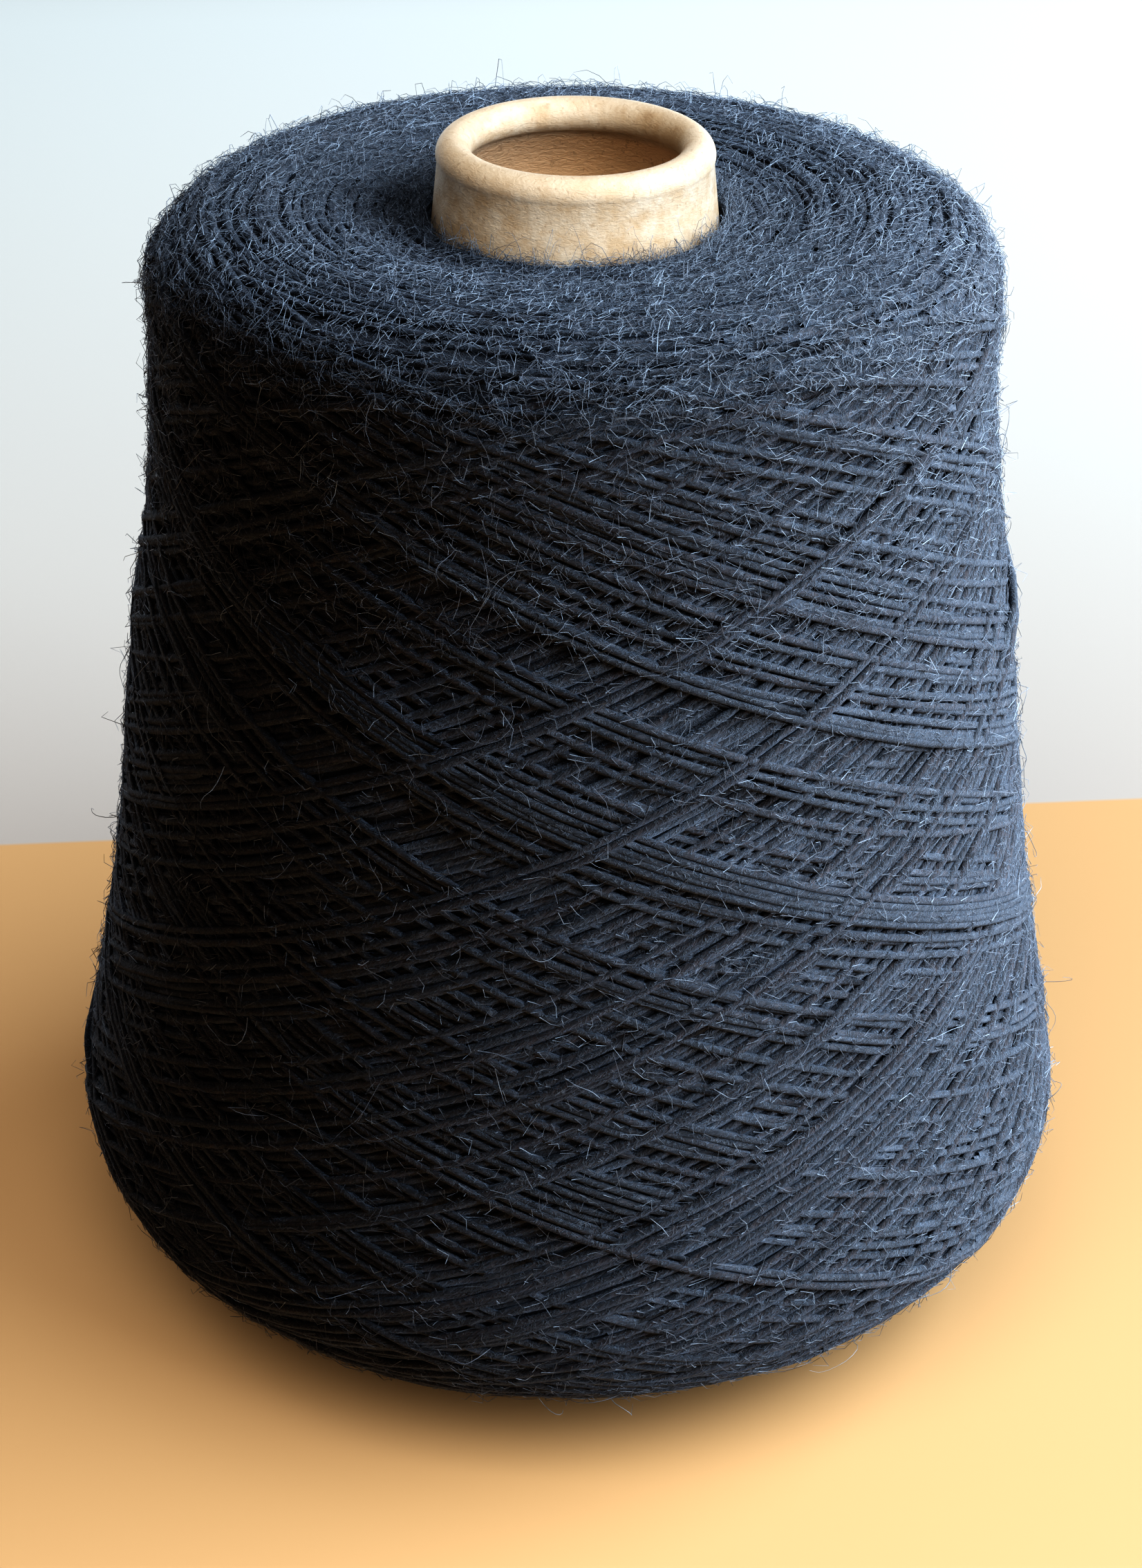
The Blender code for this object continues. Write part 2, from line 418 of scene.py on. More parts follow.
def taut(run, under, curvature):
    """Height of a thread pulled taut over those heights round a drum: it nowhere bends more than the drum
    does."""
    level = under - 0.5 * curvature * run * run
    held = []
    for i in range(len(run)):
        while len(held) > 1:
            a, b = held[-2], held[-1]
            if (level[b] - level[a]) * (run[i] - run[a]) <= (level[i] - level[a]) * (run[b] - run[a]):
                held.pop()
            else:
                break
        held.append(i)
    return np.interp(run, run[held], level[held]) + 0.5 * curvature * run * run


def softened(values, reach):
    """A running mean with a round window."""
    window = np.hanning(2 * reach + 3)[1:-1]
    return np.convolve(np.pad(values, reach, mode="edge"), window / window.sum(), mode="valid")


class Winding:
    """Strands laid one on another over the wool surface. The height over the mean surface is kept on a
    grid, and each row is let down as it fills, so that the mean stays where the CAD has it."""

    SIDE_RELIEF, TOP_RELIEF = 0.172, 0.08  # the share of the height that shows, since soft strands press in
    TAUT_SHARE = 0.3  # the rest of a strand's height follows the soft wool under it
    DRUM_RADIUS = 75.0  # mm: a taut strand bends no more than this
    SUNK = 0.4  # how far a strand sinks into the one under it, in its thickness
    LEAST = -2.1  # mm: strands that lie lower are hidden in the even layer
    SEEN_MARGIN = 0.03  # mm
    SHORTEST_RUN = 4  # points that show
    ACROSS = np.array([-0.8, -0.27, 0.27, 0.8])  # where across a strand its support is felt, in radii

    def __init__(self, surface, radius):
        self.surface, self.radius = surface, radius
        self.height = np.zeros((COLUMNS, surface.rows))
        self.let_down = np.zeros(surface.rows)
        self.laid = []
        self.base = []
        self.crown = radius * np.sqrt(1.0 - self.ACROSS**2)

    def relief(self, s):
        """The share of the laid height that shows, at each place down the surface."""
        surface = self.surface
        ends = [surface.shoulder - 4, surface.shoulder + 6, surface.heel - 6, surface.heel + 4]
        return np.interp(s, ends, [self.TOP_RELIEF, self.SIDE_RELIEF, self.SIDE_RELIEF, self.TOP_RELIEF])

    def cells(self, theta, s):
        column = np.floor((theta % FULL_TURN) / FULL_TURN * COLUMNS).astype(int) % COLUMNS
        row = np.clip((s / self.surface.pitch).astype(int), 0, self.surface.rows - 1)
        return column, row

    def tracks(self, theta, s):
        """The cells under each line across a strand."""
        r = self.surface.radius(s)
        round_step, down_step = np.gradient(theta) * r, np.gradient(s)
        size = np.hypot(round_step, down_step)
        for across in self.ACROSS * self.radius:
            yield self.cells(theta - across * down_step / size / r, s + across * round_step / size)

    def lay(self, theta, s, dive=0.0, shade=0.0):
        tracks = list(self.tracks(theta, s))
        under = np.full(len(s), -9.0)
        for (column, row), crown in zip(tracks, self.crown):
            under = np.maximum(under, self.height[column, row] - (self.radius - crown))
        r = self.surface.radius(s)
        round_step = np.diff(theta) * 0.5 * (r[1:] + r[:-1])
        run = np.concatenate([[0], np.cumsum(np.hypot(round_step, np.diff(s)))])
        held = taut(run, under, 1.0 / self.DRUM_RADIUS)
        rest = softened(under, 9)
        centre = self.TAUT_SHARE * held + (1 - self.TAUT_SHARE) * rest + self.radius * (1 - 2 * self.SUNK)
        centre = softened(centre, 4) - dive
        for (column, row), crown in zip(tracks, self.crown):
            np.maximum.at(self.height, (column, row), centre + crown)
        self.laid.append((theta, s, centre, self.let_down.copy(), shade))
        fill = self.height.mean(0)
        self.height -= fill
        self.let_down += fill

    def seen_runs(self):
        """The stretches of strands that others don't cover: (theta, s, centre height, shade)."""
        surface = self.surface
        row_middle = (np.arange(surface.rows) + 0.5) * surface.pitch
        floor = np.maximum(self.height, self.LEAST)
        runs = []
        for theta, s, centre, let_down, shade in self.laid:
            centre = centre - np.interp(s, row_middle, self.let_down - let_down)
            clear = np.zeros(len(s), int)
            for (column, row), crown in zip(self.tracks(theta, s), self.crown):
                clear += floor[column, row] <= centre + crown + self.SEEN_MARGIN
            seen = clear >= 1
            near = np.convolve(seen, np.ones(9), mode="same") > 0
            edges = np.flatnonzero(np.diff(np.concatenate([[0], near.astype(int), [0]])))
            for a, b in zip(edges[::2], edges[1::2]):
                if seen[a:b].sum() >= self.SHORTEST_RUN:
                    runs.append((theta[a:b], s[a:b], self.relief(s[a:b]) * centre[a:b], shade))
        return runs


def thinned(points, tolerance):
    """Which points of a line to keep so that it stays within that distance."""
    keep = np.zeros(len(points), bool)
    keep[0] = keep[-1] = True
    spans = [(0, len(points) - 1)]
    while spans:
        a, b = spans.pop()
        if b - a < 2:
            continue
        chord, off = points[b] - points[a], points[a + 1 : b] - points[a]
        share = np.clip(off @ chord / max(chord @ chord, 1e-18), 0.0, 1.0)
        gap = np.linalg.norm(off - share[:, None] * chord, axis=1)
        if gap.max() > tolerance:
            middle = a + 1 + int(gap.argmax())
            keep[middle] = True
            spans += [(a, middle), (middle, b)]
    return keep


def wind(sizes):
    """Lays every strand. The last strokes are the ones that the photograph shows on top."""
    surface = WoolSurface()
    winding = Winding(surface, sizes.strand_thickness / 2 / MM)
    rng = np.random.default_rng(SEED)
    top, foot = surface.shoulder - 1.0, surface.heel + 1.0

    def arc(first, last, index):
        """A strand round the top or the foot, between two rows, with its ends under others."""
        middle = first + (last - first) * ((index * GOLDEN + 0.21) % 1.0)
        span = math.radians(rng.uniform(*ARC_SPAN))
        u = np.linspace(-1, 1, int(span * surface.radius(middle) / SAMPLE_STEP))
        theta = rng.uniform(0, FULL_TURN) + u * span / 2
        s = middle + rng.uniform(-ARC_DRIFT, ARC_DRIFT) * u + 0.5 * np.sin(3 * u + rng.uniform(0, 6))
        dive = ARC_DIVE * np.abs(u) ** 30
        winding.lay(theta, np.clip(s, EDGE, surface.length - EDGE), dive, rng.normal())

    def path(start, down, uneven=1.0):
        """A stroke from the top to the foot or back."""
        x = np.linspace(-math.pi / 2, math.pi / 2, int(STROKE_LENGTH / SAMPLE_STEP))
        a = top + uneven * rng.normal(*TOP_TURN)
        b = foot + uneven * rng.normal(*FOOT_TURN)
        swing = np.arcsin(SWING * np.sin(x)) / math.asin(SWING)
        wander = uneven * WANDER * np.sin(rng.uniform(3, 9) * x + rng.uniform(0, 6)) * np.cos(x)
        s = (a + b) / 2 + (b - a) / 2 * swing * (1 if down else -1) + wander
        return start + sizes.stroke_turn * (x / math.pi + 0.5), s

    def path_through(turn, place, down):
        """A stroke that passes through that place, and how far each point is round the cone from there."""
        theta, s = path(0.0, down, 0.3)
        passed = np.interp(place, s, theta) if down else np.interp(-place, -s, theta)
        return theta - passed + math.radians(turn), s, theta - passed

    def lowest_start():
        """Where the next strokes fill the deepest hollows, of some places tried."""
        tried = rng.uniform(0, FULL_TURN, STARTS_TRIED)
        depth = [
            sum(winding.height[winding.cells(*path(turn, down, 0.0))].mean() for down in (True, False))
            for turn in tried
        ]
        return tried[int(np.argmin(depth))]

    start = 0.0
    tops = foots = beside = 0
    for n in range(sizes.strokes):
        winding.lay(*path(start, n % 2 == 0), 0.0, rng.normal() + PAINTED_SHADE_WARMTH[n % 2])
        start += sizes.stroke_turn
        if n % 2 and beside:  # the next pair of strokes lies against this one
            start += rng.uniform(*BESIDE) / surface.radius(surface.length / 2)
            beside -= 1
        elif n % 2:
            start = lowest_start()
            beside = rng.integers(0, 4)
        while tops * sizes.strokes < sizes.top_arcs * n:
            arc(1.0, top + 3.0, tops)
            tops += 1
        while foots * sizes.strokes < sizes.foot_arcs * n:
            arc(foot - 3.0, surface.length - 1.0, foots)
            foots += 1
    for k in range(sizes.base_strokes):
        theta, s = path(k * FULL_TURN / sizes.base_strokes + rng.normal(0, 0.006), False, 0.3)
        depth = np.full(len(s), -BASE_DEPTH + rng.normal(0, 0.06))
        winding.base.append((theta, s, depth, rng.normal()))
    for down, turn, place, count in LAST_STROKES:
        for k in range(count):
            theta, s, _ = path_through(turn, place, down)
            shift = k * BESIDE[0] / surface.radius(place) * (-1 if down else 1)
            winding.lay(theta + shift, s, 0.0, rng.normal() + PAINTED_SHADE_WARMTH[not down])
    for down, turn, place, off in LOOSE_STROKES:
        theta, s, away = path_through(turn, place, down)
        rise = off / winding.SIDE_RELIEF * np.exp(-((away / LOOSE_REACH) ** 2))
        winding.lay(theta, s, -rise, rng.normal())
    return winding


wound = {}


def the_winding():
    """The winding, laid once and shared by the body, the strands and the hairs."""
    if not wound:
        wound["winding"] = wind(bpy.context.scene.yarn_sizes)
    return wound["winding"]


# ---------------------------------------------------------------- making pieces


def spun_mesh(name, line, steps):
    """A closed shell, turned round the axis from a closed line of (radius, height)."""
    bm = bmesh.new()
    verts = [bm.verts.new((radius, 0.0, height)) for radius, height in line]
    edges = [bm.edges.new(pair) for pair in zip(verts, verts[1:] + verts[:1])]
    bmesh.ops.spin(
        bm, geom=verts + edges, cent=(0, 0, 0), axis=(0, 0, 1), dvec=(0, 0, 0), angle=FULL_TURN,
        steps=steps, use_merge=True, use_duplicate=False,
    )
    bmesh.ops.remove_doubles(bm, verts=bm.verts, dist=1e-6)
    bmesh.ops.recalc_face_normals(bm, faces=bm.faces)
    mesh = bpy.data.meshes.new(name)
    bm.to_mesh(mesh)
    bm.free()
    mesh.shade_smooth()
    return mesh


def add_piece(name, mesh, finish, replaced):
    """Puts a finished mesh in the scene as a piece of the object."""
    piece = bpy.data.objects.new(name, mesh)
    bpy.context.scene.collection.objects.link(piece)
    mesh.materials.clear()
    mesh.materials.append(finish)
    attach(piece, "root")
    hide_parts(replaced)
    return piece


def thread_mesh(name, lines, sides):
    """One mesh of closed threads. A line is (points in metres, radii in metres, shade, metres along).

    The point attribute lay holds a point's place across its thread and along it, in mm, and shade how
    light its thread is."""
    ring = bpy.data.curves.new(name + "_ring", "CURVE")
    ring.dimensions = "2D"
    corners = ring.splines.new("POLY")
    corners.points.add(sides - 1)
    for k, point in enumerate(corners.points):
        point.co = (math.cos(k * FULL_TURN / sides), math.sin(k * FULL_TURN / sides), 0.0, 1.0)
    corners.use_cyclic_u = True
    ring_object = bpy.data.objects.new(name + "_ring", ring)
    curve = bpy.data.curves.new(name, "CURVE")
    curve.dimensions = "3D"
    curve.bevel_mode, curve.bevel_object, curve.use_fill_caps = "OBJECT", ring_object, True
    for points, radii, _, _ in lines:
        spline = curve.splines.new("POLY")
        spline.points.add(len(points) - 1)
        spline.points.foreach_set("co", np.c_[points, np.ones(len(points))].ravel())
        spline.points.foreach_set("radius", radii)
    maker = bpy.data.objects.new(name + "_maker", curve)
    bpy.context.scene.collection.objects.link(ring_object)
    bpy.context.scene.collection.objects.link(maker)
    bpy.context.view_layer.update()
    mesh = bpy.data.meshes.new_from_object(maker.evaluated_get(bpy.context.evaluated_depsgraph_get()))
    for made in (maker, ring_object):
        bpy.data.objects.remove(made)
    bpy.data.curves.remove(curve)
    bpy.data.curves.remove(ring)

    angle = np.arange(sides) * FULL_TURN / sides
    cross = np.stack([np.cos(angle), np.sin(angle)], -1)

    def rows(radii, along):
        flat = np.empty((len(radii), sides, 3))
        flat[..., :2] = cross[None] * (radii / MM)[:, None, None]
        flat[..., 2] = (along / MM)[:, None]
        return flat.reshape(-1, 3)

    lay, shade = [], []
    for _, radii, tone, along in reversed(lines):  # the caps come first, from the last thread to the first
        for end in (-1, 0):
            lay.append(rows(radii[[end]], along[[end]]))
            shade.append(np.full(sides, tone))
    for _, radii, tone, along in lines:
        lay.append(rows(radii, along))
        shade.append(np.full(sides * len(radii), tone))
    lay, shade = np.concatenate(lay), np.concatenate(shade)
    if len(lay) != len(mesh.vertices):
        raise RuntimeError(f"{name} has {len(mesh.vertices)} points, and {len(lay)} were expected")
    mesh.attributes.new("lay", "FLOAT_VECTOR", "POINT").data.foreach_set("vector", lay.ravel())
    mesh.attributes.new("shade", "FLOAT", "POINT").data.foreach_set("value", shade)
    bm = bmesh.new()
    bm.from_mesh(mesh)
    bmesh.ops.remove_doubles(bm, verts=bm.verts, dist=1e-7)
    bm.to_mesh(mesh)
    bm.free()
    mesh.shade_smooth()
    mesh.name = name
    return mesh


STRAND_SLACK = 0.00009  # how far a strand's kept points may cut its corners
BASE_SLACK = 0.00018
SWELL, UNEVEN, END_TAPER = 0.07, 0.03, 0.7  # shares of a strand's radius
SWELL_LENGTH = 0.0031  # metres of strand to a radian of its swell


def strand_lines(runs, surface, radius, rng, slack=STRAND_SLACK):
    """Thread lines of seen stretches: each swells and thins a little, and narrows at its hidden ends."""
    lines = []
    for theta, s, centre, shade in runs:
        points = surface.place(theta, s, centre)
        keep = thinned(points, slack)
        steps = np.linalg.norm(np.diff(points, axis=0), axis=1)
        along = np.concatenate([[0], np.cumsum(steps)])[keep]
        along += rng.uniform(0, 1.0)
        swell = 1.0 + SWELL * np.sin(along / SWELL_LENGTH + rng.uniform(0, 6))
        radii = radius * (swell + rng.normal(0, UNEVEN, keep.sum()))
        radii[[0, -1]] *= END_TAPER
        lines.append((points[keep], radii, shade, along))
    return lines


FIBRE_LENGTH, FIBRE_RADIUS = (0.7, 1.9), 0.055  # mm
FIBRE_SLANT = (0.55, 0.25)  # radians: mean and spread of the angle between a fibre and its strand


def fibre_lines(runs, surface, radius, rng, count):
    """Short straight fibres, slanting on the strands as the twist lays them, with their tips free."""
    theta = np.concatenate([run[0][:-1] for run in runs])
    s = np.concatenate([run[1][:-1] for run in runs])
    centre = np.concatenate([run[2][:-1] for run in runs])
    here = surface.place(theta, s, centre)
    ahead = surface.place(*(np.concatenate([run[k][1:] for run in runs]) for k in range(3)))
    tangent = (ahead - here) / np.linalg.norm(ahead - here, axis=1)[:, None]
    outward = surface.place(theta, s, centre + 1.0) - here
    outward /= np.linalg.norm(outward, axis=1)[:, None]
    lines = []
    for k in rng.integers(0, len(theta), count):
        side = np.cross(tangent[k], outward[k])
        roll = rng.uniform(-1.1, 1.1)
        up = math.cos(roll) * outward[k] + math.sin(roll) * side
        over = -math.sin(roll) * outward[k] + math.cos(roll) * side
        slant = rng.normal(*FIBRE_SLANT)
        way = math.cos(slant) * tangent[k] + math.sin(slant) * over + rng.uniform(0.0, 0.16) * up
        start = here[k] + up * radius * rng.uniform(0.9, 1.0)
        length = rng.uniform(*FIBRE_LENGTH) * MM
        thick = FIBRE_RADIUS * MM * rng.uniform(0.7, 1.2)
        ends = np.array([start, start + way * length])
        lines.append((ends, np.array([thick, thick * 0.5]), rng.uniform(0.1, 0.8), np.array([0.0, length])))
    return lines


HAIR_EDGE = 0.4  # mm that hairs keep from either end of the surface
STRAY_SHARE, STRAY_LIFT = 0.12, 2.4  # some hairs stand this many times higher


def hair_lines(
    surface, winding, rng, count, first, last, long=(1.0, 3.6), curl=1.8, lift=0.45, thick=0.048, steps=4,
    combed=0.6,
):
    """Loose hairs as thread lines, each a small arc over the strands between two rows.

    long is their shortest and longest, curl how far they turn, lift how high they stand and thick their
    radius, in mm and radians, and combed the share that lies along the strands."""
    rows = rng.uniform(first, last, count * 3)
    share = surface.radius(rows)
    rows = rows[rng.uniform(0, share.max(), count * 3) < share][:count]
    lines = []
    for s0 in rows:
        length = rng.uniform(*long) if rng.uniform() < 0.8 else rng.uniform(long[1], long[1] * 1.6)
        u = np.linspace(0, 1, steps)
        heading = rng.uniform(0, FULL_TURN)
        if rng.uniform() < combed:
            heading = rng.integers(0, 2) * math.pi + rng.normal(0, 0.45)
        bend = rng.normal(0, curl)
        turn = heading + bend * (u - 0.5) + rng.normal(0, 0.5) * np.sin(u * 5 + rng.uniform(0, 6))
        step = length / (steps - 1)
        round_way = np.concatenate([[0], np.cumsum(np.cos(turn[:-1]) * step)])
        down_way = np.concatenate([[0], np.cumsum(np.sin(turn[:-1]) * step)])
        theta = rng.uniform(0, FULL_TURN) + round_way / surface.radius(s0)
        s = HAIR_EDGE + np.abs(s0 + down_way - HAIR_EDGE)
        s = surface.length - HAIR_EDGE - np.abs(surface.length - HAIR_EDGE - s)
        column, row = winding.cells(theta, s)
        crown = winding.radius
        ground = winding.relief(s) * (softened(winding.height[column, row], 1) - crown) + crown
        top = abs(rng.normal(0, lift)) * (STRAY_LIFT if rng.uniform() < STRAY_SHARE else 1.0) + 0.06
        height = ground + top * (np.sin(u * math.pi * rng.uniform(0.6, 1.1)) + 0.12)
        radii = thick * MM * (1.0 - 0.55 * u) * rng.uniform(0.75, 1.25)
        points = surface.place(theta, s, height)
        lines.append((points, radii, rng.uniform(), u * length * MM))
    return lines


# ---------------------------------------------------------------- finishes


TWIST_LENGTH = 7.0  # mm of strand in one turn of its twist
WOOL_SHEEN = (0.55, 0.68, 0.9)
HAIR_SHEEN = (0.6, 0.75, 1.0)


def wool_finish(sizes):
    """Twisted wool: fibres run slanting round each strand, with some brown among the blue-black."""
    f = Finish("wool")
    lay, shade = f.attribute("lay"), f.attribute("shade", "Fac")
    along = f.parts(lay)[2]
    turned = {"Vector": lay, "Angle": along * (-FULL_TURN / TWIST_LENGTH)}
    twist = f.node("ShaderNodeVectorRotate", {"rotation_type": "Z_AXIS"}, turned)
    fibres = f.noise(f.stretched(twist, (3.4, 3.4, 0.42)), 1.0, 4.0, 0.7, 0.4)
    tufts = f.noise(f.stretched(twist, (1.6, 1.6, 0.9)), 1.0, 2.0, 0.5)
    curls = f.noise(f.object_place(), 620.0, 2.0, 0.6, 1.6)
    hair = f.between(abs(curls - 0.5), 0.035, 0.0)
    light = f.between(fibres, 0.4, 0.64) * f.between(tufts, 0.15, 0.7)
    # Brown fibre at random, and painted warm shade on the strands that run up, carried in the shade
    # attribute.
    warmth = f.between(shade + tufts * 1.6, 0.4, 2.4)
    fibre = f.mixed(warmth, sizes.fibre, sizes.warm)
    tone = f.node("ShaderNodeMath", {"operation": "FRACT"}, {0: shade * 7.3})  # each strand has its own
    colour = f.mixed((light * (tone * 0.35 + 0.72) + 0.1).clamped(), sizes.dark, fibre)
    colour = f.mixed((hair * 0.22).clamped(), colour, sizes.hair)
    f.set(Base_Color=colour, Roughness=0.9)
    f.set(Specular_IOR_Level=0.25, Sheen_Weight=0.22, Sheen_Roughness=0.5, Sheen_Tint=WOOL_SHEEN)
    f.bump(fibres + tufts * 0.8 + hair * 0.4, 0.0004, 1.0)
    return f.material


def hair_finish(sizes):
    """Loose hairs, from dark to nearly white."""
    f = Finish("loose_hair")
    shade = f.attribute("shade", "Fac")
    light = f.between(shade, 0.25, 1.0)
    patch = f.noise(f.object_place(), 900.0, 1.0)
    colour = f.mixed((light**2.0 * f.between(patch, 0.2, 0.6)).clamped(), sizes.fibre, sizes.hair)
    f.set(Base_Color=colour, Roughness=0.7)
    f.set(Specular_IOR_Level=0.4, Sheen_Weight=0.2, Sheen_Roughness=0.5, Sheen_Tint=HAIR_SHEEN)
    return f.material


def body_finish(sizes):
    """The wool under the strands: a felt of curled fibres."""
    f = Finish("wool_body")
    place = f.object_place()
    lumps = f.noise(f.stretched(place, (700.0, 700.0, 1100.0)), 1.0, 4.0, 0.6, 0.6)
    felt = 0.0
    for scale, width in ((520.0, 0.05), (760.0, 0.06), (1150.0, 0.07)):
        curls = f.noise(f.stretched(place, (1.0, 1.0, 1.5)), scale, 2.0, 0.6, 1.8)
        felt = f.between(abs(curls - 0.5), width, 0.0) + felt
    light = f.between(lumps, 0.25, 0.7) * 0.55 + felt * 0.3
    f.set(Base_Color=f.mixed((light + 0.25).clamped(), sizes.dark, sizes.fibre), Roughness=0.95)
    f.set(Specular_IOR_Level=0.2, Sheen_Weight=0.18, Sheen_Roughness=0.5, Sheen_Tint=WOOL_SHEEN)
    f.bump(lumps + felt * 0.35, 0.0006, 0.9)
    return f.material


def paper_finish(sizes):
    """Kraft paper: mottled, painted paler on the top of the rim where the light falls, flecked, and given a
    lighter painted tone inside for the light that falls in.
    """
    f = Finish("kraft_paper")
    place = f.object_place()
    clouds = f.noise(place, 95.0, 3.0, 0.6)
    mottle = f.noise(place, 420.0, 4.0, 0.7)
    flecks = f.noise(f.stretched(place, (1.0, 1.0, 0.55)), 1500.0, 2.0, 0.6)
    spots = f.noise(place, 640.0, 1.0, 0.5)
    fibres = f.noise(f.stretched(place, (900.0, 900.0, 2200.0)), 1.0, 3.0, 0.6, 1.2)
    right, away, high = f.parts(place)
    radius = (right * right + away * away) ** 0.5
    slope = math.tan(sizes.half_angle)
    roll_middle = sizes.nose_radius - sizes.roll
    neck = sizes.nose_radius - sizes.neck_step - sizes.wall / 2
    wall_middle = neck + (sizes.length - sizes.roll - high) * slope
    # Painted light: the inner wall below the rim takes the lighter inside tone.
    inside = f.between(wall_middle - radius, -0.0002, 0.0006) * f.between(high, 0.1652, 0.164)
    colour = f.mixed(f.between(mottle + clouds * 0.9, 0.75, 1.15), sizes.kraft, sizes.pale)
    # Painted light: the top of the rim drawn paler, as the light falls on it from above.
    painted_rim_light = f.between(high, 0.1665, 0.1695)
    colour = f.mixed((painted_rim_light * 0.55).clamped(), colour, sizes.pale)
    colour = f.mixed(inside, colour, sizes.inside)
    curl = f.between(roll_middle - radius, 0.0002, 0.0016) * f.between(high, 0.1635, 0.1648)
    streaks = f.noise(f.stretched(place, (330.0, 330.0, 90.0)), 1.0, 2.0, 0.6)
    under_rim_streaks = curl * f.between(streaks, 0.42, 0.68)  # darker brown in streaks on the inner underside of the curled rim
    colour = f.mixed((under_rim_streaks * 0.75).clamped(), colour, sizes.kraft)
    colour = f.mixed((under_rim_streaks * f.between(mottle, 0.5, 0.7) * 0.4).clamped(), colour, sizes.fleck)
    colour = f.mixed((f.between(flecks, 0.62, 0.72) * 0.28).clamped(), colour, sizes.fleck)
    colour = f.mixed((f.between(spots, 0.76, 0.82) * 0.2).clamped(), colour, sizes.fleck)
    f.set(Base_Color=colour, Roughness=0.8)
    f.set(Specular_IOR_Level=0.3)
    f.bump(fibres + mottle * 0.8 + clouds, 0.00016, 0.7)
    return f.material


# ---------------------------------------------------------------- operators


LAMP_DISTANCE = 1.2
AIM = Vector((0.0, 0.0, 0.09))  # the middle of the object
COOL, DAY, WARM, LOW = (0.74, 0.88, 1.0), (0.86, 0.94, 1.0), (1.0, 0.95, 0.9), (1.0, 0.83, 0.62)
SKY = (1.0, 0.80, 0.66, 1.0)
FLOOR_REACH = 1.6


def soft_lamp(name, way, power, size, colour, only=(), but=(), distance=LAMP_DISTANCE):
    """An area light, seen from the object at way = (degrees to the right of the camera, degrees up).
    Where only or but name pieces, it lights those alone, or all but those."""
    light = bpy.data.lights.new(name, "AREA")
    light.shape, light.energy, light.color = "RECTANGLE", power, colour
    light.size, light.size_y = size
    lamp = bpy.data.objects.new(name, light)
    bpy.context.scene.collection.objects.link(lamp)
    right, up = (math.radians(angle) for angle in way)
    out = Vector((math.sin(right) * math.cos(up), -math.cos(right) * math.cos(up), math.sin(up)))
    lamp.location = AIM + out * distance
    lamp.rotation_mode = "QUATERNION"
    lamp.rotation_quaternion = (-out).to_track_quat("-Z", "Y")
    if only or but:
        lit = bpy.data.collections.new(name + "_lit")
        for piece in only or but:
            lit.objects.link(bpy.data.objects[piece])
        for piece in lit.collection_objects:
            piece.light_linking.link_state = "EXCLUDE" if but else "INCLUDE"
        lamp.light_linking.receiver_collection = lit


def place_camera(settings):
    camera = bpy.data.objects.new("camera", bpy.data.cameras.new("camera"))
    bpy.context.scene.collection.objects.link(camera)
    bpy.context.scene.camera = camera
    camera.data.lens = settings.lens
    camera.data.sensor_width = 36.0
    camera.data.clip_start, camera.data.clip_end = 0.01, 20.0
    turn = Matrix.Rotation(math.pi / 2 - settings.camera_pitch, 4, "X")
    turn = turn @ Matrix.Rotation(settings.camera_roll, 4, "Z")
    place = Matrix.Translation((0.0, -settings.camera_distance, settings.camera_height))
    camera.matrix_world = place @ turn


def lay_floor(settings):
    """A plain floor that changes colour at a line behind the object, and grows paler from there: painted
    light, for a wall that is shaded at its foot and lit higher up.
    """
    bm = bmesh.new()
    bmesh.ops.create_grid(bm, x_segments=1, y_segments=1, size=FLOOR_REACH)
    mesh = bpy.data.meshes.new("floor")
    bm.to_mesh(mesh)
    bm.free()
    floor = bpy.data.objects.new("floor", mesh)
    f = Finish("floor")
    place = f.object_place()
    soft = f.noise(place, 3.0, 2.0)
    front = f.mixed(soft * 0.3, settings.floor, [1.12 * c for c in settings.floor])
    away = f.parts(f.stretched(place, (1.0, 1.0, 1.0), (0.0, 0.0, -settings.back_turn)))[1]
    line = settings.back_distance * math.cos(settings.back_turn)
    # Painted light: darker at the line, as a wall's foot in shade, paler further back, as the wall higher
    # up in more light.
    back = f.mixed(f.between(away, line, line + 0.5), settings.back, settings.far)
    f.set(Base_Color=f.mixed(f.between(away, line, line + 0.001), front, back), Roughness=0.7)
    mesh.materials.append(f.material)
    bpy.context.scene.collection.objects.link(floor)


def set_light(settings):
    """Wool, paper and floor each have their own lamps, which give each its tone."""
    floor, paper = ("floor",), ("paper_tube",)
    to_wool = {"but": paper + floor}
    soft_lamp("window", (85, 28), settings.window_power, (0.9, 0.7), COOL, distance=0.7, **to_wool)
    soft_lamp("window_on_stage", (84, 34), settings.stage_power, (1.7, 1.1), DAY, only=floor)
    soft_lamp("stage_fill", (-10, 50), settings.stage_fill, (1.2, 1.2), WARM, only=floor)
    soft_lamp("window_on_paper", (70, 28), settings.paper_power, (1.7, 1.0), DAY, only=paper)
    soft_lamp("paper_fill", (22, 50), settings.paper_fill, (1.0, 1.0), LOW, only=paper)
    soft_lamp("top_light", (178, 52), settings.top_light, (1.2, 1.2), COOL, **to_wool)
    soft_lamp("back_light", (190, 3), settings.back_light, (1.7, 0.3), DAY, but=floor)
    world = bpy.data.worlds.new("sky")
    bpy.context.scene.world = world
    world.use_nodes = True
    background = world.node_tree.nodes["Background"]
    background.inputs["Color"].default_value = SKY
    background.inputs["Strength"].default_value = settings.sky
    bpy.context.scene.view_settings.view_transform = "Standard"
    bpy.context.scene.view_settings.look = "Very High Contrast"


